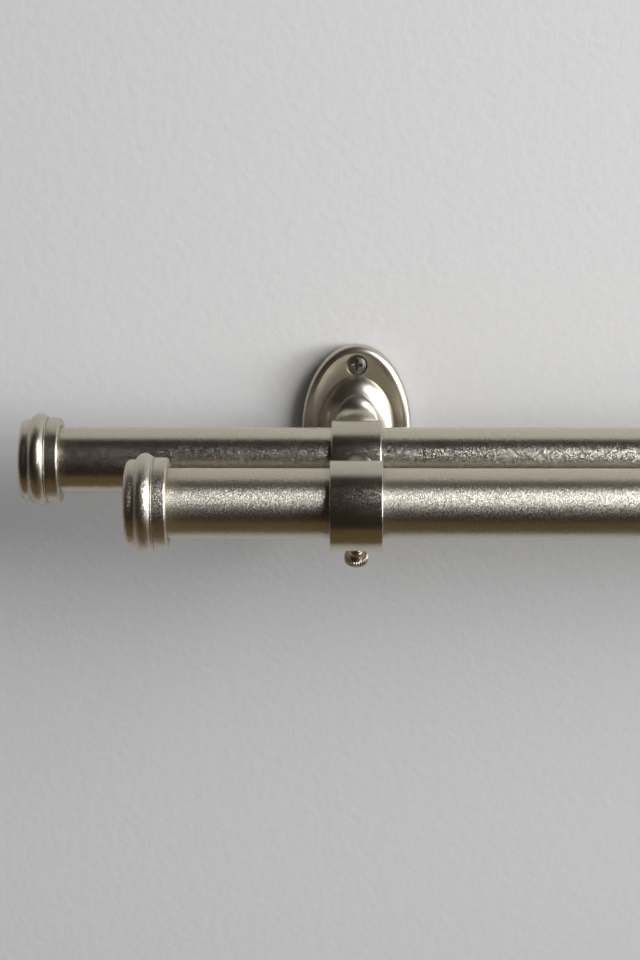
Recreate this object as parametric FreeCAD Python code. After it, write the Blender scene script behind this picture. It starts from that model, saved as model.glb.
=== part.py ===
import FreeCAD, Part
import math
import os

# Double curtain pole: two round poles of unlike length, carried by a pair of wall brackets.
# Millimetres. X runs along the poles, the wall is the plane y = 0, the room is towards -Y, Z is up.
# The origin is on the wall, midway between the brackets, at the height of their stems.

Vector = FreeCAD.Vector
along_pole = Vector(1, 0, 0)
into_room = Vector(0, -1, 0)

# Poles
pole_diameter = 25.4
pole_wall = 1.2
rear_pole_length = 900.0
front_pole_short = 46.0         # each end of the front pole, short of the rear pole's end

# Where the brackets stand and how far they reach
bracket_overhang = 125.0        # rear pole past the middle of each bracket
rear_reach = 57.15              # wall to the centre of the rear ring
ring_spacing = 63.5             # centre of the rear ring to the centre of the front ring

# Rings that carry the poles
ring_wall = 2.2
ring_width = 19.0
ring_play = 1.4                 # bore radius less pole radius
ring_edge = 0.5                 # rounding of the outer edges
ring_bore_edge = 0.4            # bevel of the bore's edges
pole_seat_gap = 0.2             # pole to bore, on the side that the thumb screw presses it against

# Thumb screws under the rings
thumb_lean = 30.0               # degrees from straight down, towards the wall
thumb_shank_diameter = 4.8
thumb_thread_clearance = 0.1
thumb_tip_gap = 0.3
thumb_neck_length = 9.2         # ring to head
thumb_collar_diameter = 5.4
thumb_collar_length = 3.0
thumb_head_diameter = 8.9
thumb_head_length = 2.6
thumb_head_bevel = 0.4
thumb_knurl_depth = 0.3
thumb_knurl_count = 30

# Stem from the wall plate to the rear ring, and link from ring to ring
rod_diameter = 13.0
link_diameter = 14.6
spigot_diameter = 6.0
spigot_clearance = 0.05
spigot_set_back = 0.1           # spigot end below the bore's surface

# Wall plate: nested ovals, from the rim to the neck that holds the stem
plate_half_width = 22.3
plate_half_height = 35.2
rim_side = 2.2                  # straight side below the rolled rim
rim_round = 3.0                 # radius of the rolled rim
rim_step = 0.4                  # rim over the outer edge of the hollow field
rim_step_lean = 0.15
field_drop = 1.5                # fall of the field from the rim to the dome's foot
dome_half_width = 15.4
dome_half_height = 22.4
dome_step = 0.6
dome_round = 11.0               # radius of the dome's section
dome_foot_slope = 55.0          # degrees
dome_top_slope = 15.0           # degrees
tier_height = 0.6
neck_length = 10.5
neck_wall = 1.4
stem_clearance = 0.05
stem_socket_depth = 13.0
plate_back_rim = 4.0
plate_back_recess = 1.8
plate_back_wall = 2.2           # recess to dome, measured across
centre_boss_diameter = 19.0

# Bolt that holds the stem, from the back of the plate
bolt_diameter = 5.0
bolt_clearance = 0.2
bolt_head_diameter = 9.2
bolt_set_back = 0.6
bolt_reach = 8.0                # length in the stem
bolt_hole_spare = 2.0
bolt_socket = 3.0               # hexagon across flats
bolt_socket_depth = 2.0

# Wall screws
screw_offset = 27.0             # above and below the stem
screw_diameter = 4.2            # thread, in the wall
screw_plain_diameter = 4.7      # plain shank below the head
screw_plain_in_wall = 0.2       # plain shank ends just past the face of the wall
screw_clearance = 0.3
screw_head_diameter = 8.2
screw_head_dome = 0.9
screw_sunk = 0.6                # rim of the head below the field
screw_boss_wall = 1.1
screw_in_wall = 32.0
screw_point = 6.0
screw_cross_length = 4.6
screw_cross_width = 0.95
screw_cross_depth = 1.9

# End caps, from the outer end: end disc, hollow, bead, lip, fine groove, band
cap_length = 15.3
cap_band_wall = 3.5
cap_band_length = 4.8
cap_bead_rise = 1.6             # bead crest over the band
cap_bead_round = 3.4            # radius of the bead's section
cap_bead_middle = 7.0           # outer end to the bead's crest
cap_lip_rise = 0.4              # lip beside the bead, over the band
cap_disc_drop = 0.7             # band over the end disc
cap_disc_hollow = 1.0           # radius of the hollow between end disc and bead
cap_end_round = 2.2
cap_band_round = 0.9
cap_groove = 0.3                # width and depth of the fine groove
cap_socket_depth = 11.45
cap_fit = 0.25                  # socket radius less pole radius
cap_mouth_bevel = 0.5

# Grub screws that hold the caps
grub_diameter = 3.0
grub_clearance = 0.1
grub_set_back = 0.3
grub_tip_gap = 0.05
grub_lean = 45.0                # degrees from straight down, towards the wall
grub_socket = 1.5
grub_socket_depth = 1.2

# Sizes that follow
front_pole_length = rear_pole_length - 2 * front_pole_short
bracket_spacing = rear_pole_length - 2 * bracket_overhang
pole_radius = pole_diameter / 2
rod_radius = rod_diameter / 2
ring_bore = pole_radius + ring_play
ring_radius = ring_bore + ring_wall
rear_y = -rear_reach
front_y = -rear_reach - ring_spacing
pole_shift = ring_play - pole_seat_gap
neck_radius = rod_radius + stem_clearance + neck_wall
field_top = rim_side + rim_round - rim_step
field_half_width = plate_half_width - rim_round - rim_step_lean
field_half_height = plate_half_height - rim_round - rim_step_lean
dome_foot = field_top - field_drop + dome_step
foot_turn = math.radians(dome_foot_slope)
top_turn = math.radians(dome_top_slope)
dome_run = dome_round * (math.sin(foot_turn) - math.sin(top_turn))
dome_top = dome_foot + dome_round * (math.cos(top_turn) - math.cos(foot_turn))
tier_half_width = dome_half_width - dome_run
tier_half_height = dome_half_height - dome_run
neck_foot = dome_top + tier_height
neck_mouth = neck_foot + neck_length
socket_floor = neck_mouth - stem_socket_depth
field_share = (field_half_height - screw_offset) / (field_half_height - dome_half_height)
overlap = 1.0                   # cutting tools run this far past what they cut
bead_steps = 8                  # ovals that a rounded stretch of the plate is drawn through
curve_steps = 6


def field_level(share):
    # Height of the hollow field, from the rim at share 0 to the dome's foot at share 1.
    return field_top - field_drop * (1 - (1 - share) ** 2)


screw_seat = field_level(field_share) - screw_sunk


def leaning_down(degrees):
    # Direction that hangs down and leans towards the wall.
    angle = math.radians(degrees)
    return Vector(0, math.sin(angle), -math.cos(angle))


def pole_axis(ring_y):
    # The thumb screw presses its pole against the far side of the bore.
    return Vector(0, ring_y, 0) - leaning_down(thumb_lean) * pole_shift


def rod(radius, start, end):
    return Part.makeCylinder(radius, (end - start).Length, start, end - start)


def lines(points):
    return [Part.LineSegment(a, b).toShape() for a, b in zip(points, points[1:])]


def arc(start, middle, end):
    return Part.Arc(start, middle, end).toShape()


def turned(edges, axis):
    # Solid of revolution about an axis through the origin.
    face = Part.Face(Part.Wire(Part.__sortEdges__(edges)))
    return face.revolve(Vector(0, 0, 0), axis, 360)


def placed(shape, start, direction):
    # Takes a shape that was turned about +Z to a place and a direction.
    turn = FreeCAD.Rotation(Vector(0, 0, 1), direction)
    shape.Placement = FreeCAD.Placement(start, turn)
    return shape


def hexagon_socket(across_flats, depth):
    # Cutting tool that runs up from z = 0.
    corner = across_flats / math.sqrt(3)
    turns = [math.radians(60 * step) for step in range(7)]
    points = [Vector(corner * math.cos(turn), corner * math.sin(turn), 0) for turn in turns]
    return Part.Face(Part.makePolygon(points)).extrude(Vector(0, 0, depth))


def oval(half_width, half_height, height):
    # Upright oval, parallel to the wall and this high above it, with its seam at the side.
    centre = Vector(0, -height, 0)
    top = Vector(0, -height, half_height)
    side = Vector(half_width, -height, 0)
    ellipse = Part.Ellipse(top, side, centre)
    return Part.Wire(ellipse.toShape(math.pi / 2, math.pi / 2 + 2 * math.pi))


def oval_band(ovals, straight):
    return Part.makeLoft([oval(*size) for size in ovals], False, straight).Faces


def pole(length, ring_y):
    centre = pole_axis(ring_y)
    half = along_pole * (length / 2)
    inside = half + along_pole * overlap
    tube = rod(pole_radius, centre - half, centre + half)
    return tube.cut(rod(pole_radius - pole_wall, centre - inside, centre + inside))


def ring(bracket_x, ring_y, spigot_sides):
    half = ring_width / 2
    slope = ring_edge * (1 - math.sqrt(0.5))
    outer = ring_radius - ring_edge
    bevel = ring_bore + ring_bore_edge
    edges = lines([
        Vector(-half + ring_edge, 0, ring_radius), Vector(half - ring_edge, 0, ring_radius)])
    edges.append(arc(
        Vector(half - ring_edge, 0, ring_radius), Vector(half - slope, 0, ring_radius - slope),
        Vector(half, 0, outer)))
    edges += lines([
        Vector(half, 0, outer), Vector(half, 0, bevel), Vector(half - ring_bore_edge, 0, ring_bore),
        Vector(-half + ring_bore_edge, 0, ring_bore), Vector(-half, 0, bevel),
        Vector(-half, 0, outer)])
    edges.append(arc(
        Vector(-half, 0, outer), Vector(-half + slope, 0, ring_radius - slope),
        Vector(-half + ring_edge, 0, ring_radius)))
    shape = turned(edges, along_pole)
    shape.translate(Vector(bracket_x, ring_y, 0))
    centre = Vector(bracket_x, ring_y, 0)
    past = ring_radius + overlap
    for side in spigot_sides:
        hole_radius = spigot_diameter / 2 + spigot_clearance
        shape = shape.cut(rod(hole_radius, centre, centre + into_room * side * past))
    thread_radius = thumb_shank_diameter / 2 + thumb_thread_clearance
    return shape.cut(rod(thread_radius, centre, centre + leaning_down(thumb_lean) * past))


def ring_outside(bracket_x, ring_y):
    # Envelope of a ring, used to shape the rod ends that seat on it.
    half = along_pole * (ring_width / 2 + link_diameter)
    centre = Vector(bracket_x, ring_y, 0)
    return rod(ring_radius, centre - half, centre + half)


def spigot(bracket_x, ring_y, side):
    centre = Vector(bracket_x, ring_y, 0)
    near = centre + into_room * side * (ring_bore + spigot_set_back)
    far = centre + into_room * side * (ring_radius + overlap)
    return rod(spigot_diameter / 2, near, far)


def stem(bracket_x):
    start = Vector(bracket_x, -socket_floor, 0)
    shape = rod(rod_radius, start, Vector(bracket_x, rear_y, 0))
    shape = shape.cut(ring_outside(bracket_x, rear_y)).fuse(spigot(bracket_x, rear_y, -1))
    hole_end = start + into_room * (bolt_reach + bolt_hole_spare)
    return shape.cut(rod(bolt_diameter / 2, start - into_room * overlap, hole_end)).removeSplitter()


def link(bracket_x):
    shape = rod(link_diameter / 2, Vector(bracket_x, rear_y, 0), Vector(bracket_x, front_y, 0))
    for ring_y, side in ((rear_y, 1), (front_y, -1)):
        shape = shape.cut(ring_outside(bracket_x, ring_y))
        shape = shape.fuse(spigot(bracket_x, ring_y, side))
    return shape.removeSplitter()


def plate_blank():
    # Shell of nested ovals, closed to a solid at the back and at the neck's mouth.
    rim_ovals = []
    for step in range(bead_steps + 1):
        angle = math.pi / 2 * step / bead_steps
        inset = rim_round * (1 - math.cos(angle))
        height = rim_side + rim_round * math.sin(angle)
        rim_ovals.append((plate_half_width - inset, plate_half_height - inset, height))
    field_ovals = []
    for step in range(curve_steps + 1):
        share = step / curve_steps
        field_ovals.append((
            field_half_width - share * (field_half_width - dome_half_width),
            field_half_height - share * (field_half_height - dome_half_height),
            field_level(share)))
    dome_ovals = []
    for step in range(curve_steps + 1):
        slope = foot_turn + (top_turn - foot_turn) * step / curve_steps
        inset = dome_round * (math.sin(foot_turn) - math.sin(slope))
        height = dome_foot + dome_round * (math.cos(slope) - math.cos(foot_turn))
        dome_ovals.append((dome_half_width - inset, dome_half_height - inset, height))
    neck_ovals = []
    for step in range(curve_steps + 1):
        angle = math.pi / 2 * step / curve_steps
        drawn_in = math.sin(angle)
        neck_ovals.append((
            tier_half_width + (neck_radius - tier_half_width) * drawn_in,
            tier_half_height + (neck_radius - tier_half_height) * drawn_in,
            neck_foot + neck_length * (1 - math.cos(angle))))
    back = (plate_half_width, plate_half_height, 0)
    faces = oval_band([back, rim_ovals[0]], True)
    faces += oval_band(rim_ovals, False)
    faces += oval_band([rim_ovals[-1], field_ovals[0]], True)
    faces += oval_band(field_ovals, False)
    faces += oval_band([field_ovals[-1], dome_ovals[0]], True)
    faces += oval_band(dome_ovals, False)
    faces += oval_band([dome_ovals[-1], neck_ovals[0]], True)
    faces += oval_band(neck_ovals, False)
    faces += [Part.Face(oval(*back)), Part.Face(oval(*neck_ovals[-1]))]
    skin = Part.Shell(faces)
    skin.sewShape()
    blank = Part.Solid(skin)
    blank.fix(0.001, 0.001, 0.001)
    return blank


def plate_recess():
    # Hollow of the casting's back, round the bosses that stand on the wall.
    mouth = (plate_half_width - plate_back_rim, plate_half_height - plate_back_rim, 0)
    floor_width = dome_half_width - plate_back_wall
    floor_height = dome_half_height - plate_back_wall
    floor = (floor_width, floor_height, plate_back_recess)
    hollow = Part.makeLoft([oval(*mouth), oval(*floor)], True, True)
    boss_end = into_room * (plate_back_recess + overlap)
    boss_start = into_room * -overlap
    bosses = [rod(centre_boss_diameter / 2, boss_start, boss_end)]
    for side in (1, -1):
        place = Vector(0, 0, side * screw_offset)
        boss_radius = screw_head_diameter / 2 + screw_boss_wall
        bosses.append(rod(boss_radius, place + boss_start, place + boss_end))
    return hollow.cut(bosses)


def screw_cone(radius_spare):
    # Countersunk head on its shank, about +Z with the wall at z = 0, as a solid or as its hole.
    head = screw_head_diameter / 2 + radius_spare
    shank = screw_plain_diameter / 2 + radius_spare
    return head, shank, screw_seat - (head - shank)


def wall_plate(bracket_x):
    shape = plate_blank().cut(plate_recess())
    centre = Vector(0, 0, 0)
    shape = shape.cut(rod(
        rod_radius + stem_clearance, into_room * socket_floor, into_room * (neck_mouth + overlap)))
    bolt_radius = bolt_diameter / 2 + bolt_clearance
    shape = shape.cut(rod(bolt_radius, centre - into_room * overlap, into_room * (socket_floor + overlap)))
    head_radius = bolt_head_diameter / 2 + bolt_clearance
    cone = Part.makeCone(
        head_radius, bolt_radius, head_radius - bolt_radius, into_room * bolt_set_back, into_room)
    shape = shape.cut([cone, rod(head_radius, centre - into_room * overlap, into_room * bolt_set_back)])
    head, shank, cone_foot = screw_cone(screw_clearance)
    for side in (1, -1):
        place = Vector(0, 0, side * screw_offset)
        shape = shape.cut([
            rod(shank, place - into_room * overlap, place + into_room * (cone_foot + overlap)),
            Part.makeCone(shank, head, head - shank, place + into_room * cone_foot, into_room),
            rod(head, place + into_room * screw_seat, place + into_room * neck_mouth)])
    shape.translate(Vector(bracket_x, 0, 0))
    return shape


def wall_screw(bracket_x, side):
    head, shank, cone_foot = screw_cone(0)
    rise = screw_head_dome
    dome_radius = (head * head + rise * rise) / (2 * rise)
    thread = screw_diameter / 2
    half_way = head / 2
    half_rise = math.sqrt(dome_radius ** 2 - half_way ** 2) - (dome_radius - rise)
    top = Vector(0, 0, screw_seat + rise)
    edges = [arc(top, Vector(half_way, 0, screw_seat + half_rise), Vector(head, 0, screw_seat))]
    edges += lines([
        Vector(head, 0, screw_seat), Vector(shank, 0, cone_foot),
        Vector(shank, 0, -screw_plain_in_wall), Vector(thread, 0, -screw_plain_in_wall),
        Vector(thread, 0, screw_point - screw_in_wall), Vector(0, 0, -screw_in_wall), top])
    shape = turned(edges, Vector(0, 0, 1))
    slot = Part.makeBox(screw_cross_length, screw_cross_width, screw_cross_depth + overlap)
    slot.translate(Vector(-screw_cross_length / 2, -screw_cross_width / 2, top.z - screw_cross_depth))
    crossing = slot.copy()
    crossing.rotate(Vector(0, 0, 0), Vector(0, 0, 1), 90)
    shape = shape.cut([slot, crossing])
    return placed(shape, Vector(bracket_x, 0, side * screw_offset), into_room)


def plate_bolt(bracket_x):
    head = bolt_head_diameter / 2
    radius = bolt_diameter / 2
    length = socket_floor + bolt_reach - bolt_set_back
    edges = lines([
        Vector(0, 0, 0), Vector(head, 0, 0), Vector(radius, 0, head - radius),
        Vector(radius, 0, length), Vector(0, 0, length), Vector(0, 0, 0)])
    shape = turned(edges, Vector(0, 0, 1)).cut(hexagon_socket(bolt_socket, bolt_socket_depth))
    return placed(shape, Vector(bracket_x, -bolt_set_back, 0), into_room)


def thumb_screw(bracket_x, ring_y):
    shank = thumb_shank_diameter / 2
    head = thumb_head_diameter / 2
    tip = pole_radius - pole_shift + thumb_tip_gap
    head_start = ring_radius + thumb_neck_length
    head_end = head_start + thumb_head_length
    bevelled = head - thumb_head_bevel
    grip = turned(lines([
        Vector(0, 0, head_start), Vector(bevelled, 0, head_start),
        Vector(head, 0, head_start + thumb_head_bevel), Vector(head, 0, head_end - thumb_head_bevel),
        Vector(bevelled, 0, head_end), Vector(0, 0, head_end), Vector(0, 0, head_start)]), Vector(0, 0, 1))
    points = []
    for step in range(2 * thumb_knurl_count + 1):
        angle = math.pi * step / thumb_knurl_count
        reach = head - thumb_knurl_depth * (step % 2)
        points.append(Vector(reach * math.cos(angle), reach * math.sin(angle), head_start))
    knurl = Part.Face(Part.makePolygon(points)).extrude(Vector(0, 0, thumb_head_length))
    collar_start = Vector(0, 0, head_start - thumb_collar_length)
    collar = rod(thumb_collar_diameter / 2, collar_start, Vector(0, 0, head_start))
    shape = grip.common(knurl).fuse([collar, rod(shank, Vector(0, 0, tip), Vector(0, 0, head_start))])
    return placed(shape.removeSplitter(), Vector(bracket_x, ring_y, 0), leaning_down(thumb_lean))


def cap_places(pole_length, side):
    # Outer end of a cap along X, and the middle of its band.
    outer_end = pole_length / 2 + cap_length - cap_socket_depth
    return side * outer_end, side * (outer_end - cap_length + cap_band_length / 2)


def grub_line(pole_length, ring_y, side):
    band_middle = cap_places(pole_length, side)[1]
    return pole_axis(ring_y) + along_pole * band_middle, leaning_down(grub_lean)


def end_cap(pole_length, ring_y, side):
    # Turned about X with its outer end at x = 0 and its mouth towards +X.
    socket = pole_radius + cap_fit
    band = socket + cap_band_wall
    disc = band - cap_disc_drop
    crest = band + cap_bead_rise
    lip = band + cap_lip_rise
    bead_centre = crest - cap_bead_round
    hollow_lift = disc + cap_disc_hollow - bead_centre
    hollow_reach = math.sqrt((cap_bead_round + cap_disc_hollow) ** 2 - hollow_lift ** 2)
    hollow_x = cap_bead_middle - hollow_reach
    hollow_turn = (math.atan2(-hollow_lift, hollow_reach) - math.pi / 2) / 2
    bead_share = cap_bead_round / (cap_bead_round + cap_disc_hollow)
    bead_foot = Vector(
        cap_bead_middle - hollow_reach * bead_share, 0, bead_centre + hollow_lift * bead_share)
    lip_reach = math.sqrt(cap_bead_round ** 2 - (lip - bead_centre) ** 2)
    band_start = cap_length - cap_band_length
    groove_floor = band - cap_groove
    round_point = cap_end_round * (1 - math.sqrt(0.5))
    band_point = cap_band_round * (1 - math.sqrt(0.5))
    floor = cap_length - cap_socket_depth
    edges = lines([Vector(0, 0, 0), Vector(0, 0, disc - cap_end_round)])
    edges.append(arc(
        Vector(0, 0, disc - cap_end_round), Vector(round_point, 0, disc - round_point),
        Vector(cap_end_round, 0, disc)))
    edges += lines([Vector(cap_end_round, 0, disc), Vector(hollow_x, 0, disc)])
    edges.append(arc(
        Vector(hollow_x, 0, disc),
        Vector(hollow_x + cap_disc_hollow * math.cos(hollow_turn), 0,
               disc + cap_disc_hollow * (1 + math.sin(hollow_turn))),
        bead_foot))
    edges.append(arc(
        bead_foot, Vector(cap_bead_middle, 0, crest), Vector(cap_bead_middle + lip_reach, 0, lip)))
    edges += lines([
        Vector(cap_bead_middle + lip_reach, 0, lip), Vector(band_start - cap_groove, 0, lip),
        Vector(band_start - cap_groove, 0, groove_floor), Vector(band_start, 0, groove_floor),
        Vector(band_start, 0, band), Vector(cap_length - cap_band_round, 0, band)])
    edges.append(arc(
        Vector(cap_length - cap_band_round, 0, band),
        Vector(cap_length - band_point, 0, band - band_point),
        Vector(cap_length, 0, band - cap_band_round)))
    edges += lines([
        Vector(cap_length, 0, band - cap_band_round), Vector(cap_length, 0, socket + cap_mouth_bevel),
        Vector(cap_length - cap_mouth_bevel, 0, socket), Vector(floor, 0, socket),
        Vector(floor, 0, 0), Vector(0, 0, 0)])
    shape = turned(edges, along_pole)
    if side > 0:
        shape.rotate(Vector(0, 0, 0), Vector(0, 0, 1), 180)
    shape.translate(pole_axis(ring_y) + along_pole * cap_places(pole_length, side)[0])
    centre, down = grub_line(pole_length, ring_y, side)
    hole_radius = grub_diameter / 2 + grub_clearance
    return shape.cut(rod(hole_radius, centre, centre + down * (band + overlap)))


def cap_grub_screw(pole_length, ring_y, side):
    centre, down = grub_line(pole_length, ring_y, side)
    tip = pole_radius + grub_tip_gap
    length = pole_radius + cap_fit + cap_band_wall - grub_set_back - tip
    shape = Part.makeCylinder(grub_diameter / 2, length)
    socket = hexagon_socket(grub_socket, grub_socket_depth + overlap)
    socket.translate(Vector(0, 0, length - grub_socket_depth))
    return placed(shape.cut(socket), centre + down * tip, down)


def main():
    nodes = {}
    for name, length, ring_y in (
            ("rear", rear_pole_length, rear_y), ("front", front_pole_length, front_y)):
        nodes[name + "_pole"] = pole(length, ring_y)
        for side_name, side in (("left", -1), ("right", 1)):
            nodes[f"{name}_{side_name}_end_cap"] = end_cap(length, ring_y, side)
            nodes[f"{name}_{side_name}_cap_grub_screw"] = cap_grub_screw(length, ring_y, side)
    for side_name, side in (("left", -1), ("right", 1)):
        bracket_x = side * bracket_spacing / 2
        nodes[side_name + "_wall_plate"] = wall_plate(bracket_x)
        nodes[side_name + "_plate_bolt"] = plate_bolt(bracket_x)
        nodes[side_name + "_upper_wall_screw"] = wall_screw(bracket_x, 1)
        nodes[side_name + "_lower_wall_screw"] = wall_screw(bracket_x, -1)
        nodes[side_name + "_stem"] = stem(bracket_x)
        nodes[side_name + "_rear_ring"] = ring(bracket_x, rear_y, (1, -1))
        nodes[side_name + "_link"] = link(bracket_x)
        nodes[side_name + "_front_ring"] = ring(bracket_x, front_y, (-1,))
        nodes[side_name + "_rear_thumb_screw"] = thumb_screw(bracket_x, rear_y)
        nodes[side_name + "_front_thumb_screw"] = thumb_screw(bracket_x, front_y)
    os.makedirs("parts", exist_ok=True)
    for name, shape in nodes.items():
        print(name, "solids", len(shape.Solids), "valid", shape.isValid(), "mm3", round(shape.Volume, 1))
        shape.exportStep(f"parts/{name}.step")


main()
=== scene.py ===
import bmesh
import bpy
import math
from mathutils import Matrix, Vector


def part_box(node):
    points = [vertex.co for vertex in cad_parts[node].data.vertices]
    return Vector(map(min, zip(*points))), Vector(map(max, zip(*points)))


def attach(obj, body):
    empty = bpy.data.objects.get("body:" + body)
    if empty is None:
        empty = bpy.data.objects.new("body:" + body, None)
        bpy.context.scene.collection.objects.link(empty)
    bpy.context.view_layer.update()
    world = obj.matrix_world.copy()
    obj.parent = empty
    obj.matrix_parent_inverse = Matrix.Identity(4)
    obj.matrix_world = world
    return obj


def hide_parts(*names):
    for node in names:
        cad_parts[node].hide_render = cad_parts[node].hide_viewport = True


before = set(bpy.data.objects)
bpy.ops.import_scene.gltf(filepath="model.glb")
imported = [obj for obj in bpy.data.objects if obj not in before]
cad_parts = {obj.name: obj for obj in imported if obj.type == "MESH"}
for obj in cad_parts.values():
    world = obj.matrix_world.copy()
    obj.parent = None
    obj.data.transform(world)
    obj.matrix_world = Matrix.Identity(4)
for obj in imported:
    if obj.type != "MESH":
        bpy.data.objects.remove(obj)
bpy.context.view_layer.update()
mm = 0.001
sides = {"left": -1, "right": 1}
print("frame loaded,", len(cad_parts), "solids")


def hexToLinear(code):
    channels = [int(code[i:i + 2], 16) / 255 for i in (0, 2, 4)]
    return [c / 12.92 if c <= 0.04045 else ((c + 0.055) / 1.055) ** 2.4 for c in channels] + [1.0]


def addNode(tree, kind, settings={}, links={}):
    node = tree.nodes.new(kind)
    for key, value in settings.items():
        if isinstance(key, int) or key in node.inputs:
            node.inputs[key].default_value = value
        else:
            setattr(node, key, value)
    for key, source in links.items():
        tree.links.new(source, node.inputs[key])
    return node


def emptyMaterial(name):
    material = bpy.data.materials.new(name)
    material.use_nodes = True
    material.node_tree.nodes.clear()
    return material, material.node_tree


colourA, colourB, colourOut = 6, 7, 2  # a Mix node's sockets for colours

# Metals. The visible hardware is nickel, apart from the wall screws: warm grey, satin, with a grain that
# the finishing left.
cloudRange, grainRange = (0.3, 0.7), (0.34, 0.66)  # where most of the noise lies
quarterTurn = 0.25


def nickelFinish(finish):
    material, tree = emptyMaterial(finish["name"])
    place = addNode(tree, "ShaderNodeTexCoord").outputs["Object"]
    across = 1 / (finish["grainAcross"] * mm)  # noise cells per metre
    along = 1 / (finish["grainAlong"] * mm)
    scales = [along, along, along]
    scales["XYZ".index(finish["axis"])] = across
    stretched = addNode(tree, "ShaderNodeMapping", {"Scale": scales}, {"Vector": place})
    grain = addNode(tree, "ShaderNodeTexNoise",
                    {"Scale": 1.0, "Detail": 1.0}, {"Vector": stretched.outputs[0]})
    cloud = addNode(tree, "ShaderNodeTexNoise",
                    {"Scale": 1 / (finish["cloudSize"] * mm), "Detail": 3.0, "Roughness": 0.6},
                    {"Vector": place})
    # hand marks and plating clouds: the shine changes a little over a centimetre or two
    rough = addNode(tree, "ShaderNodeMapRange",
                    {"From Min": cloudRange[0], "From Max": cloudRange[1],
                     "To Min": finish["roughness"] - finish["roughnessSpread"],
                     "To Max": finish["roughness"] + finish["roughnessSpread"]},
                    {"Value": cloud.outputs["Fac"]})
    speck = addNode(tree, "ShaderNodeMath", {"operation": "MULTIPLY_ADD", 1: finish["grainRoughness"]},
                    {0: grain.outputs["Fac"], 2: rough.outputs[0]})
    tint = addNode(tree, "ShaderNodeMix",
                   {"data_type": "RGBA", colourA: hexToLinear(finish["colour"]),
                    colourB: hexToLinear(finish["colourWorn"])}, {"Factor": cloud.outputs["Fac"]})
    spark = addNode(tree, "ShaderNodeMapRange",
                    {"From Min": grainRange[0], "From Max": grainRange[1],
                     "To Min": 1 - finish["grainShade"], "To Max": 1 + finish["grainShade"] / 2},
                    {"Value": grain.outputs["Fac"]})
    tint = addNode(tree, "ShaderNodeMix", {"data_type": "RGBA", "blend_type": "MULTIPLY", "Factor": 1.0},
                   {colourA: tint.outputs[colourOut], colourB: spark.outputs[0]})
    relief = addNode(tree, "ShaderNodeBump",
                     {"Strength": 1.0, "Distance": finish["grainDepth"] * mm},
                     {"Height": grain.outputs["Fac"]})
    facing = relief.outputs[0]
    if any(finish["facetTilt"]):  # each speck of the surface is a small flat that looks its own way
        tilt = Vector(finish["facetTilt"])
        facets = addNode(tree, "ShaderNodeTexVoronoi", {"Scale": 1.0}, {"Vector": stretched.outputs[0]})
        leaning = addNode(tree, "ShaderNodeVectorMath", {"operation": "MULTIPLY_ADD", 1: tilt, 2: -tilt / 2},
                          {0: facets.outputs["Color"]})
        summed = addNode(tree, "ShaderNodeVectorMath", {"operation": "ADD"},
                         {0: leaning.outputs[0], 1: facing})
        facing = addNode(tree, "ShaderNodeVectorMath", {"operation": "NORMALIZE"},
                         {0: summed.outputs[0]}).outputs[0]
    shader = addNode(tree, "ShaderNodeBsdfPrincipled",
                     {"Metallic": 1.0, "Anisotropic": finish["anisotropy"]},
                     {"Base Color": tint.outputs[colourOut], "Roughness": speck.outputs[0], "Normal": facing})
    if finish["anisotropy"]:
        tangent = addNode(tree, "ShaderNodeTangent", {"direction_type": "RADIAL", "axis": finish["axis"]})
        tree.links.new(tangent.outputs[0], shader.inputs["Tangent"])
        shader.inputs["Anisotropic Rotation"].default_value = quarterTurn  # the highlight runs along the axis
    addNode(tree, "ShaderNodeOutputMaterial", {}, {"Surface": shader.outputs[0]})
    return material


# Steel tube, satin nickel plated over a brushing that ran round it: a shiny tube whose highlight
# breaks into fine upright sparks and is drawn out along the pole. The front pole is brushed duller.
# The brush lines are about 0.1 mm wide; drawn at 0.16 mm so that they show.
rearTubeNickel = nickelFinish({
    "name": "satin nickel tube rear", "colour": "D0C9B7", "colourWorn": "C9C1AE", "roughness": 0.24,
    "roughnessSpread": 0.02, "grainRoughness": 0.05, "grainAcross": 0.16, "grainAlong": 0.3,
    "grainDepth": 0.01, "grainShade": 0.1, "cloudSize": 14.0, "anisotropy": 0.3, "axis": "X",
    "facetTilt": (0.46, 0.1, 0.1)})
frontTubeNickel = nickelFinish({
    "name": "satin nickel tube front", "colour": "D0C9B7", "colourWorn": "C9C1AE", "roughness": 0.38,
    "roughnessSpread": 0.02, "grainRoughness": 0.06, "grainAcross": 0.16, "grainAlong": 0.3,
    "grainDepth": 0.01, "grainShade": 0.14, "cloudSize": 14.0, "anisotropy": 0.85, "axis": "X",
    "facetTilt": (0.56, 0.14, 0.14)})
# Zinc castings, turned and bead blasted before plating: an even sparkle, coarser on the front pair.
# The blasted dimples are about 0.1 mm; drawn at 0.16 to 0.22 mm so that they show.
rearCapNickel = nickelFinish({
    "name": "satin nickel turned casting rear", "colour": "D0C9B7", "colourWorn": "C9C1AE",
    "roughness": 0.27, "roughnessSpread": 0.02, "grainRoughness": 0.05, "grainAcross": 0.16,
    "grainAlong": 0.2, "grainDepth": 0.01, "grainShade": 0.1, "cloudSize": 9.0, "anisotropy": 0.3,
    "axis": "X", "facetTilt": (0.3, 0.24, 0.24)})
frontCapNickel = nickelFinish({
    "name": "satin nickel turned casting front", "colour": "D0C9B7", "colourWorn": "C9C1AE",
    "roughness": 0.32, "roughnessSpread": 0.02, "grainRoughness": 0.05, "grainAcross": 0.2,
    "grainAlong": 0.22, "grainDepth": 0.01, "grainShade": 0.12, "cloudSize": 9.0, "anisotropy": 0.5,
    "axis": "X", "facetTilt": (0.56, 0.3, 0.3)})
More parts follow.
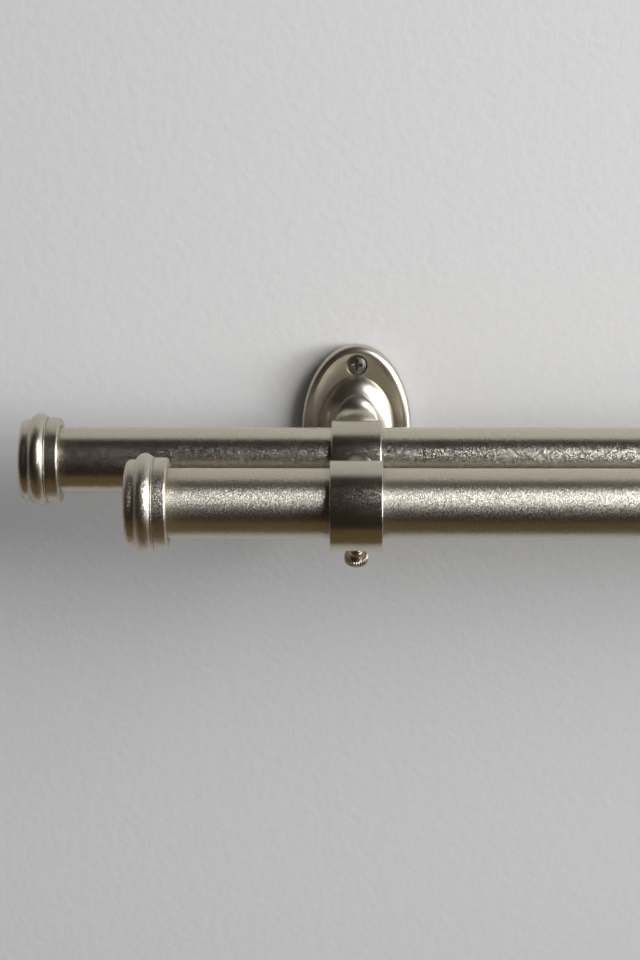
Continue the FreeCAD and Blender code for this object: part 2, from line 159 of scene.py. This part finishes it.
# Short ring cut from tube, polished and finely blasted before plating: it mirrors the room softly
# under an even dark grain. The grain is about 0.1 mm; drawn at 0.2 mm so that it shows.
ringNickel = nickelFinish({
    "name": "satin nickel ring", "colour": "CDC6B4", "colourWorn": "C5BDAA", "roughness": 0.23,
    "roughnessSpread": 0.02, "grainRoughness": 0.03, "grainAcross": 0.2, "grainAlong": 0.22,
    "grainDepth": 0.01, "grainShade": 0.3, "cloudSize": 7.0, "anisotropy": 0.0, "axis": "X",
    "facetTilt": (0.36, 0.06, 0.06)})
# Turned rod, polished before plating: smooth, with faint marks round it.
rodNickel = nickelFinish({
    "name": "satin nickel rod", "colour": "CDC6B4", "colourWorn": "C5BDAA", "roughness": 0.27,
    "roughnessSpread": 0.02, "grainRoughness": 0.03, "grainAcross": 0.6, "grainAlong": 1.6,
    "grainDepth": 0.008, "grainShade": 0.06, "cloudSize": 7.0, "anisotropy": 0.0, "axis": "Y",
    "facetTilt": (0, 0, 0)})
# Die-cast zinc plate, tumbled and plated: soft edges, smooth slopes with a slight unevenness.
plateNickel = nickelFinish({
    "name": "satin nickel die casting", "colour": "D4CDBE", "colourWorn": "CAC2B1", "roughness": 0.32,
    "roughnessSpread": 0.03, "grainRoughness": 0.03, "grainAcross": 0.9, "grainAlong": 0.9,
    "grainDepth": 0.012, "grainShade": 0.05, "cloudSize": 8.0, "anisotropy": 0.0, "axis": "Y",
    "facetTilt": (0, 0, 0)})
# Turned brass screw, nickel plated and handled: shiny, with duller patches.
thumbNickel = nickelFinish({
    "name": "nickel plated brass screw", "colour": "CFC8BB", "colourWorn": "BFB6A6", "roughness": 0.26,
    "roughnessSpread": 0.04, "grainRoughness": 0.05, "grainAcross": 0.4, "grainAlong": 0.8,
    "grainDepth": 0.008, "grainShade": 0.08, "cloudSize": 3.0, "anisotropy": 0.0, "axis": "X",
    "facetTilt": (0, 0, 0)})
# Zinc plated steel screw: bluish grey and a little duller.
screwSteel = nickelFinish({
    "name": "zinc plated steel screw", "colour": "AEABA4", "colourWorn": "928D86", "roughness": 0.32,
    "roughnessSpread": 0.06, "grainRoughness": 0.06, "grainAcross": 0.4, "grainAlong": 0.4,
    "grainDepth": 0.01, "grainShade": 0.12, "cloudSize": 2.5, "anisotropy": 0.0, "axis": "Y",
    "facetTilt": (0, 0, 0)})
# Blackened steel: oxide over turned metal, dull and nearly black.
blackSteel = nickelFinish({
    "name": "black oxide steel", "colour": "4A4745", "colourWorn": "5E5954", "roughness": 0.42,
    "roughnessSpread": 0.06, "grainRoughness": 0.05, "grainAcross": 0.25, "grainAlong": 0.25,
    "grainDepth": 0.006, "grainShade": 0.1, "cloudSize": 1.5, "anisotropy": 0.0, "axis": "Y",
    "facetTilt": (0, 0, 0)})
print("metals made")


def arcPoints(along, radius, size, start, end, steps):
    # points of a round, (along, radius) in mm, angles in degrees from the axis
    turns = [math.radians(start + (end - start) * i / steps) for i in range(steps + 1)]
    return [(along + size * math.cos(t), radius + size * math.sin(t)) for t in turns]


sharpAngle = 30  # degrees between two faces from which their edge stays crisp
onAxis = 1e-6  # mm, rows closer than this to the axis are one point
nearUpright = 0.9  # an axis whose Z is above this takes Y as its first spoke


def turnedPiece(name, runs, centre, axis, material):
    # Each run is an outline of (along, radius) in mm, the number of steps round, whether its end joins
    # its start, and a cut that takes (along, radius, angle) to a new (along, radius).
    axis = Vector(axis).normalized()
    out = Vector((0, 0, 1)) if abs(axis.z) < nearUpright else Vector((0, 1, 0))
    out = (out - axis * out.dot(axis)).normalized()
    side = axis.cross(out)
    points, faces = [], []
    for outline, steps, closed, cut in runs:
        rows = []
        for along, radius in outline:
            if radius < onAxis:
                rows.append([len(points)])
                points.append(Vector(centre) + axis * along * mm)
                continue
            rows.append(list(range(len(points), len(points) + steps)))
            for step in range(steps):
                angle = 2 * math.pi * step / steps
                a, r = cut(along, radius, angle) if cut else (along, radius)
                spoke = out * math.cos(angle) + side * math.sin(angle)
                points.append(Vector(centre) + (axis * a + spoke * r) * mm)
        pairs = list(zip(rows, rows[1:])) + ([(rows[-1], rows[0])] if closed else [])
        for one, two in pairs:
            for i in range(steps):
                j = (i + 1) % steps
                if len(one) == 1 and len(two) == 1:
                    break
                if len(one) == 1:
                    faces.append((one[0], two[j], two[i]))
                elif len(two) == 1:
                    faces.append((one[i], one[j], two[0]))
                else:
                    faces.append((one[i], one[j], two[j], two[i]))
    mesh = bpy.data.meshes.new(name)
    mesh.from_pydata(points, [], faces)
    mesh.validate()
    mesh.shade_smooth()
    mesh.set_sharp_from_angle(angle=math.radians(sharpAngle))
    mesh.materials.append(material)
    piece = bpy.data.objects.new(name, mesh)
    bpy.context.scene.collection.objects.link(piece)
    return piece


def outwardFaces(piece):
    # all walls look outwards
    form = bmesh.new()
    form.from_mesh(piece.data)
    bmesh.ops.recalc_face_normals(form, faces=form.faces)
    form.to_mesh(piece.data)
    form.free()


def middleOf(node):
    low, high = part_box(node)
    return (low + high) / 2


def standFor(piece, node, body):
    outwardFaces(piece)
    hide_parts(node)
    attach(piece, body)


# Poles
poleSizes = {"radius": 12.7, "wall": 1.2, "edge": 0.25, "steps": 192}
poleNickel = {"rear": rearTubeNickel, "front": frontTubeNickel}
for poleName in ("rear", "front"):
    low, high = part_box(poleName + "_pole")
    half = (high.x - low.x) / 2 / mm
    r, w, e = poleSizes["radius"], poleSizes["wall"], poleSizes["edge"]
    outline = [(-half + e, r), (half - e, r), (half, r - e), (half, r - w), (-half, r - w), (-half, r - e)]
    pole = turnedPiece(poleName + "Tube", [(outline, poleSizes["steps"], True, None)],
                       middleOf(poleName + "_pole"), (1, 0, 0), poleNickel[poleName])
    standFor(pole, poleName + "_pole", poleName + "_pole_set")
print("poles made")

# End caps, outlines from the outer end towards the pole
capSizes = {
    "length": 15.3, "disc": 15.75, "faceRow": 0.4, "endRound": 2.2, "endSteps": 10,
    "hollow": 1.0, "hollowSteps": 8, "beadMiddle": 7.0, "beadRound": 3.4, "beadSteps": 30,
    "crest": 18.05, "lip": 16.85, "groove": 0.3, "band": 16.45, "bandLength": 4.8, "bandRound": 0.9,
    "bandSteps": 8, "edge": 0.12, "socket": 12.95, "socketDepth": 11.45, "mouth": 0.5, "steps": 192}
capNickel = {"rear": rearCapNickel, "front": frontCapNickel}


def capOutline(size):
    disc, hollow, bead, middle = size["disc"], size["hollow"], size["beadRound"], size["beadMiddle"]
    core = size["crest"] - bead
    lift = disc + hollow - core
    reach = math.sqrt((bead + hollow) ** 2 - lift ** 2)
    lean = math.degrees(math.atan2(lift, reach))
    lipTurn = math.degrees(math.asin((size["lip"] - core) / bead))
    length, band, edge, bandRound = size["length"], size["band"], size["edge"], size["bandRound"]
    bandStart = length - size["bandLength"]
    lipEnd = bandStart - size["groove"]
    floor = length - size["socketDepth"]
    points = [(0, 0), (0, disc * size["faceRow"])]
    points += arcPoints(size["endRound"], disc - size["endRound"], size["endRound"], 180, 90,
                        size["endSteps"])
    points += arcPoints(middle - reach, disc + hollow, hollow, -90, -lean, size["hollowSteps"])
    points += arcPoints(middle, core, bead, 180 - lean, lipTurn, size["beadSteps"])[1:]
    points += [(lipEnd - edge, size["lip"]), (lipEnd, size["lip"] - edge), (lipEnd, band - size["groove"]),
               (bandStart, band - size["groove"]), (bandStart, band - edge), (bandStart + edge, band)]
    points += arcPoints(length - bandRound, band - bandRound, bandRound, 90, 0, size["bandSteps"])
    points += [(length, size["socket"] + size["mouth"]), (length - size["mouth"], size["socket"]),
               (floor, size["socket"]), (floor, 0)]
    return points


for poleName in ("rear", "front"):
    for sideName, side in sides.items():
        node = f"{poleName}_{sideName}_end_cap"
        low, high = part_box(node)
        end = middleOf(node)
        end.x = low.x if side < 0 else high.x
        cap = turnedPiece(f"{poleName}{sideName.title()}EndCap",
                          [(capOutline(capSizes), capSizes["steps"], False, None)],
                          end, (-side, 0, 0), capNickel[poleName])
        standFor(cap, node, poleName + "_pole_set")
print("end caps made")

# Rings
ringSizes = {"radius": 16.3, "bore": 14.1, "width": 19.0, "edge": 0.5, "edgeSteps": 6, "boreEdge": 0.4,
             "steps": 192}


def ringOutline(size):
    half, edge, bevel, steps = size["width"] / 2, size["edge"], size["boreEdge"], size["edgeSteps"]
    points = arcPoints(half - edge, size["radius"] - edge, edge, 90, 0, steps)
    points += [(half, size["bore"] + bevel), (half - bevel, size["bore"]), (bevel - half, size["bore"]),
               (-half, size["bore"] + bevel)]
    return points + arcPoints(edge - half, size["radius"] - edge, edge, 180, 90, steps)


for sideName in sides:
    for poleName in ("rear", "front"):
        node = f"{sideName}_{poleName}_ring"
        ring = turnedPiece(f"{sideName}{poleName.title()}Ring",
                           [(ringOutline(ringSizes), ringSizes["steps"], True, None)],
                           middleOf(node), (1, 0, 0), ringNickel)
        standFor(ring, node, "brackets")
print("rings made")

# Thumb screws: knurled head on a threaded shank, leaning towards the wall
thumbSizes = {
    "lean": 30.0, "tip": 11.8, "tipDrop": 0.6, "tipBevel": 0.5, "tipEase": 0.1,
    "shank": 2.4, "threadDepth": 0.35, "pitch": 0.8, "rowsPerTurn": 10, "steps": 48,
    "collar": 2.7, "collarLength": 3.0, "collarInset": 0.3, "collarBevel": 0.2,
    "collarRound": 1.0, "collarRoundEnd": 10, "collarRoundSteps": 8,
    "headStart": 25.5, "headEnd": 28.1, "head": 4.45, "bevel": 0.4, "underRow": 0.7,
    "dishRim": 0.6, "dishFloor": 0.52, "dishDepth": 0.25,
    "knurls": 30, "stepsPerKnurl": 8, "knurlDepth": 0.3, "knurlCurve": 0.7, "knurlSlack": 0.01}


def threadRows(size, start, end):
    count = int(round((end - start) / size["pitch"] * size["rowsPerTurn"]))
    return [(start + (end - start) * i / count, size["shank"]) for i in range(count + 1)]


def threadCut(size, start, end):
    def cut(along, radius, angle):
        turn = (along / size["pitch"] - angle / (2 * math.pi)) % 1.0
        valley = 1 - abs(2 * turn - 1)
        # the thread runs out at both ends
        fade = min(1.0, (along - start) / size["pitch"], (end - along) / size["pitch"])
        return along, radius - size["threadDepth"] * valley * max(fade, 0)
    return cut


def knurlCut(size):
    smooth = size["head"] - size["bevel"] - size["knurlSlack"]  # rows inside this radius stay round

    def cut(along, radius, angle):
        wave = 0.5 - 0.5 * math.cos(angle * size["knurls"])
        groove = size["knurlDepth"] * wave ** size["knurlCurve"] if radius > smooth else 0.0
        return along, radius - groove
    return cut


s = thumbSizes
lean = math.radians(s["lean"])
down = Vector((0, math.sin(lean), -math.cos(lean)))
threadStart, foot = s["tip"] + s["tipBevel"], s["headStart"] - s["collarLength"]
shank = [(s["tip"], 0), (s["tip"], s["shank"] - s["tipDrop"]), (threadStart, s["shank"] - s["tipEase"])]
shank += threadRows(s, threadStart, foot)[1:]
collar = [(foot, s["shank"] - s["collarInset"]), (foot, s["collar"] - s["collarBevel"]),
          (foot + s["collarBevel"], s["collar"])]
collar += arcPoints(s["headStart"] - s["collarRound"], s["collar"] - s["collarRound"], s["collarRound"],
                    90, s["collarRoundEnd"], s["collarRoundSteps"])
rim, dish = s["head"] - s["bevel"], s["headEnd"] - s["dishDepth"]
head = [(s["headStart"], 0), (s["headStart"], rim * s["underRow"]), (s["headStart"], rim),
        (s["headStart"] + s["bevel"], s["head"]), (s["headEnd"] - s["bevel"], s["head"]),
        (s["headEnd"], rim), (s["headEnd"], rim * s["dishRim"]), (dish, rim * s["dishFloor"]), (dish, 0)]
thumbRuns = [(shank, s["steps"], False, threadCut(s, threadStart, foot)), (collar, s["steps"], False, None),
             (head, s["knurls"] * s["stepsPerKnurl"], False, knurlCut(s))]
for sideName in sides:
    for poleName in ("rear", "front"):
        node = f"{sideName}_{poleName}_thumb_screw"
        screw = turnedPiece(f"{sideName}{poleName.title()}ThumbScrew", thumbRuns,
                            middleOf(f"{sideName}_{poleName}_ring"), down, thumbNickel)
        standFor(screw, node, f"{sideName}_{poleName}_thumb_screw_turn")
print("thumb screws made")

# Wall screws: domed cross-head on a wood-screw thread
screwSizes = {
    "head": 4.1, "dome": 0.9, "headRows": 76, "rimEdge": 0.02, "rimHeight": 0.05, "headSteps": 200,
    "wing": 2.3, "wingWidth": 0.95, "wingDepth": 1.9, "wingFloor": 0.7, "wingSlope": 0.16, "wingCurve": 0.6,
    "plain": 2.35, "plainInWall": 0.2, "shank": 2.1, "inWall": 32.0,
    "point": 6.0, "pointRadius": 0.02, "pointShare": 0.02,
    "threadDepth": 0.6, "pitch": 1.8, "crest": 0.12, "flank": 0.5, "rowsPerTurn": 12, "steps": 48}


def share(value):
    return min(1.0, max(0.0, value))


def crossCut(size):
    def cut(along, radius, angle):
        x, y = abs(radius * math.cos(angle)), abs(radius * math.sin(angle))
        deepest = 0.0
        for length, width in ((x, y), (y, x)):
            slope = share((size["wing"] - length) / (size["wing"] - size["wingFloor"]))
            wall = share((size["wingWidth"] / 2 + size["wingSlope"] / 2 - width) / size["wingSlope"])
            deepest = max(deepest, size["wingDepth"] * slope ** size["wingCurve"] * wall)
        return along - deepest, radius
    return cut


def woodThreadCut(size):
    def cut(along, radius, angle):
        turn = (along / size["pitch"] + angle / (2 * math.pi)) % 1.0
        valley = share((abs(2 * turn - 1) - size["crest"]) / size["flank"])  # sharp crest, wide root
        start = share((-size["plainInWall"] - along) / size["pitch"])
        taper = max(min(1.0, (along + size["inWall"]) / size["point"]), size["pointShare"])
        return along, max(size["pointRadius"], (radius - size["threadDepth"] * valley * start) * taper)
    return cut


s = screwSizes
bow = (s["head"] ** 2 + s["dome"] ** 2) / (2 * s["dome"])  # radius of the dome
radii = [s["head"] * i / s["headRows"] for i in range(1, s["headRows"])] + [s["head"] - s["rimEdge"]]
threaded = s["inWall"] - s["plainInWall"]
count = int(threaded / s["pitch"] * s["rowsPerTurn"])
shank = [(-s["plainInWall"], s["plain"])]
shank += [(-s["plainInWall"] - threaded * i / count, s["shank"]) for i in range(count + 1)]
shank += [(-s["inWall"], 0)]
for sideName in sides:
    for levelName in ("upper", "lower"):
        node = f"{sideName}_{levelName}_wall_screw"
        centre = middleOf(node)
        centre.y = 0.0
        seat = -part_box(node)[0].y / mm - s["dome"]  # rim of the head above the wall
        head = [(seat + s["dome"] - s["wingDepth"], 0)]
        head += [(seat + math.sqrt(bow * bow - r * r) - bow + s["dome"], r) for r in radii]
        under = [(seat, s["head"] - s["rimEdge"]), (seat - s["rimHeight"], s["head"]),
                 (seat - s["head"] + s["plain"], s["plain"]), (-s["plainInWall"], s["plain"])]
        screw = turnedPiece(f"{sideName}{levelName.title()}WallScrew",
                            [(head, s["headSteps"], False, crossCut(s)), (under, s["steps"], False, None),
                             (shank, s["steps"], False, woodThreadCut(s))], centre, (0, -1, 0), screwSteel)
        standFor(screw, node, "brackets")
print("wall screws made")

# Solids that are shown as they are
solidFinishes = {"_wall_plate": plateNickel, "_stem": rodNickel, "_link": rodNickel,
                 "_bolt": blackSteel, "_grub_screw": blackSteel}
for node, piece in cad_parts.items():
    for ending, finish in solidFinishes.items():
        if node.endswith(ending):
            piece.data.materials.clear()
            piece.data.materials.append(finish)
print("plates, rods and small screws finished")

# Stage: painted wall, pale floor and the dim room that the metal mirrors.
# The wall stands 2.5 mm behind the plates' backs, so that their cast shadow shows beside them.
stageSizes = {"wallY": 0.0025, "floorZ": -0.9, "top": 1.9, "half": 2.6, "front": -2.4, "litFloor": -0.95,
              "sideBack": 0.3, "ceilingBack": 0.05}


def stageSheet(name, corners, material, seenBy):
    mesh = bpy.data.meshes.new(name)
    mesh.from_pydata(corners, [], [tuple(range(len(corners)))])
    mesh.materials.append(material)
    sheet = bpy.data.objects.new(name, mesh)
    bpy.context.scene.collection.objects.link(sheet)
    for ray in ("camera", "diffuse", "glossy", "transmission", "volume_scatter", "shadow"):
        setattr(sheet, "visible_" + ray, ray in seenBy)


def paintFinish(finish):
    material, tree = emptyMaterial(finish["name"])
    place = addNode(tree, "ShaderNodeTexCoord").outputs["Object"]
    roller = addNode(tree, "ShaderNodeTexNoise",
                     {"Scale": 1 / (finish["grain"] * mm), "Detail": 3.0}, {"Vector": place})
    tint = addNode(tree, "ShaderNodeMix",
                   {"data_type": "RGBA", colourA: hexToLinear(finish["colour"]),
                    colourB: hexToLinear(finish["shade"])}, {"Factor": roller.outputs["Fac"]})
    stipple = addNode(tree, "ShaderNodeBump", {"Strength": 1.0, "Distance": finish["relief"] * mm},
                      {"Height": roller.outputs["Fac"]})
    paint = addNode(tree, "ShaderNodeBsdfDiffuse", {},
                    {"Color": tint.outputs[colourOut], "Normal": stipple.outputs[0]})
    pale = addNode(tree, "ShaderNodeEmission", {"Strength": finish["glow"]},
                   {"Color": tint.outputs[colourOut]})
    paint = addNode(tree, "ShaderNodeAddShader", {}, {0: paint.outputs[0], 1: pale.outputs[0]})
    clear = addNode(tree, "ShaderNodeBsdfTransparent")
    back = addNode(tree, "ShaderNodeNewGeometry")
    seen = addNode(tree, "ShaderNodeMixShader", {},
                   {0: back.outputs["Backfacing"], 1: paint.outputs[0], 2: clear.outputs[0]})
    addNode(tree, "ShaderNodeOutputMaterial", {}, {"Surface": seen.outputs[0]})
    material.cycles.emission_sampling = "NONE"
    return material


# Emulsion rolled on plaster: matt, with a faint stipple a few millimetres across.
wallPaint = paintFinish({"name": "matt wall paint", "colour": "E0DDD5", "shade": "DEDBD3",
                         "grain": 3.6, "relief": 0.11, "glow": 0.0})
# Painted floor, far below: broad soft patches. Few lamps reach it, so it is lifted.
floorPaint = paintFinish({"name": "pale floor", "colour": "DAD6CE", "shade": "D4CFC6",
                          "grain": 40.0, "relief": 0.2, "glow": 0.4})


def roomFinish(name, colour):
    material, tree = emptyMaterial(name)
    glow = addNode(tree, "ShaderNodeEmission", {"Color": hexToLinear(colour), "Strength": 1.0})
    addNode(tree, "ShaderNodeOutputMaterial", {}, {"Surface": glow.outputs[0]})
    material.cycles.emission_sampling = "NONE"
    return material


# The room as the metal mirrors it, made of glowing sheets that only the metal sees. These are painted
# reflections: dark walls, one brightly lit side, and a lit wooden floor near the wall with dark floor beyond
# it.
dimRoom = roomFinish("dim room", "2A2320")
litSide = roomFinish("lit side of the room", "F0F0EE")
litFloorReflection = roomFinish("painted reflection of a lit wooden floor", "67583D")

wallY, ground, ceiling = stageSizes["wallY"], stageSizes["floorZ"], stageSizes["top"]
half, front, litFloor = stageSizes["half"], stageSizes["front"], stageSizes["litFloor"]


def levelCorners(z, near, far):
    return [(-half, near, z), (half, near, z), (half, far, z), (-half, far, z)]


def facingCorners(y):
    return [(-half, y, ground), (half, y, ground), (half, y, ceiling), (-half, y, ceiling)]


def sideCorners(x, far):
    return [(x, front, ground), (x, far, ground), (x, far, ceiling), (x, front, ceiling)]


stageSheet("wall", facingCorners(wallY), wallPaint, ("camera", "glossy"))
stageSheet("floor", levelCorners(ground, front, wallY), floorPaint, ("camera",))
# Painted reflections: the floor near the wall glows brown as if lit, and the far floor, front, left wall and
# ceiling glow dark as if in shade.
roomSheets = {
    "roomFront": (facingCorners(front), dimRoom),
    "roomLeft": (sideCorners(-half, stageSizes["sideBack"]), dimRoom),
    "roomRight": (sideCorners(half, stageSizes["sideBack"]), litSide),
    "roomCeiling": (levelCorners(ceiling, front, stageSizes["ceilingBack"]), dimRoom),
    "roomFloor": (levelCorners(ground, front, litFloor), dimRoom),
    "roomFloorNear": (levelCorners(ground, litFloor, wallY), litFloorReflection)}
for name, (corners, finish) in roomSheets.items():
    stageSheet(name, corners, finish, ("glossy",))

# Light: a tall soft box to the front right, a window further to the right that the metal mirrors, a wide
# wash from that side that reaches the wall alone, and a weak even light all round.
# The beams are narrow enough that no part of the wall turns white.
lampSizes = {
    "softBox": {"aim": (-0.325, -0.09, 0.0), "azimuth": 51.0, "elevation": 24.0, "distance": 1.6,
                "width": 0.75, "height": 1.3, "beam": 76.0, "power": 5.2, "seenBy": ("diffuse", "glossy")},
    "sideWindow": {"aim": (-0.325, 0.0, 0.0), "azimuth": 75.0, "elevation": 8.0, "distance": 1.05,
                   "width": 0.3, "height": 0.8, "beam": 180.0, "power": 8.4, "seenBy": ("glossy",)},
    "wallWash": {"aim": (-0.325, 0.0, 0.2), "azimuth": 71.0, "elevation": 4.5, "distance": 3.6,
                 "width": 1.6, "height": 1.36, "beam": 36.0, "power": 9.6, "seenBy": ("diffuse",)}}
skySizes = {"colour": "F2F5FF", "around": 0.075, "backdrop": "DEDEDC"}
for name, size in lampSizes.items():
    azimuth, elevation = math.radians(size["azimuth"]), math.radians(size["elevation"])
    toLight = Vector((math.sin(azimuth) * math.cos(elevation), -math.cos(azimuth) * math.cos(elevation),
                      math.sin(elevation)))
    lamp = bpy.data.lights.new(name, "AREA")
    lamp.color = hexToLinear(skySizes["colour"])[:3]
    lamp.shape = "RECTANGLE"
    lamp.size, lamp.size_y = size["width"], size["height"]
    lamp.energy = size["power"]
    lamp.spread = math.radians(size["beam"])
    lampPiece = bpy.data.objects.new(name, lamp)
    lampPiece.location = Vector(size["aim"]) + toLight * size["distance"]
    lampPiece.rotation_mode = "QUATERNION"
    lampPiece.rotation_quaternion = toLight.to_track_quat("Z", "Y")
    for ray in ("camera", "diffuse", "glossy"):
        setattr(lampPiece, "visible_" + ray, ray in size["seenBy"])
    bpy.context.scene.collection.objects.link(lampPiece)

world = bpy.data.worlds.new("studio")
bpy.context.scene.world = world
world.use_nodes = True
sky = world.node_tree
sky.nodes.clear()
path = addNode(sky, "ShaderNodeLightPath")
seen = addNode(sky, "ShaderNodeMath", {"operation": "MAXIMUM"},
               {0: path.outputs["Is Camera Ray"], 1: path.outputs["Is Glossy Ray"]})
seen = addNode(sky, "ShaderNodeMath", {"operation": "MAXIMUM"},
               {0: seen.outputs[0], 1: path.outputs["Is Transmission Ray"]})
around = addNode(sky, "ShaderNodeBackground",
                 {"Color": hexToLinear(skySizes["colour"]), "Strength": skySizes["around"]})
backdrop = addNode(sky, "ShaderNodeBackground",
                   {"Color": hexToLinear(skySizes["backdrop"]), "Strength": 1.0})
choice = addNode(sky, "ShaderNodeMixShader", {},
                 {0: seen.outputs[0], 1: around.outputs[0], 2: backdrop.outputs[0]})
addNode(sky, "ShaderNodeOutputWorld", {}, {"Surface": choice.outputs[0]})
print("stage and light set")

# Camera, at the photo's angle: just right of the bracket's middle, a little above the poles
cameraSizes = {"place": (-0.32438, -0.95146, 0.22666), "yaw": -0.94, "pitch": 14.64, "roll": -0.17,
               "lens": 89.79, "sensor": 36.0, "nearest": 0.01}
yaw, pitch, roll = (math.radians(cameraSizes[key]) for key in ("yaw", "pitch", "roll"))
ahead = Vector((math.sin(yaw) * math.cos(pitch), math.cos(yaw) * math.cos(pitch), -math.sin(pitch)))
right = Vector((math.cos(yaw), -math.sin(yaw), 0))
up = right.cross(ahead)
right, up = right * math.cos(roll) + up * math.sin(roll), up * math.cos(roll) - right * math.sin(roll)
camera = bpy.data.objects.new("camera", bpy.data.cameras.new("camera"))
camera.data.lens = cameraSizes["lens"]
camera.data.sensor_width = cameraSizes["sensor"]
camera.data.clip_start = cameraSizes["nearest"]
turned = Matrix((right, up, -ahead)).transposed().to_4x4()
camera.matrix_world = Matrix.Translation(cameraSizes["place"]) @ turned
bpy.context.scene.collection.objects.link(camera)
bpy.context.scene.camera = camera
bpy.context.scene.view_settings.view_transform = "Standard"
print("camera set")
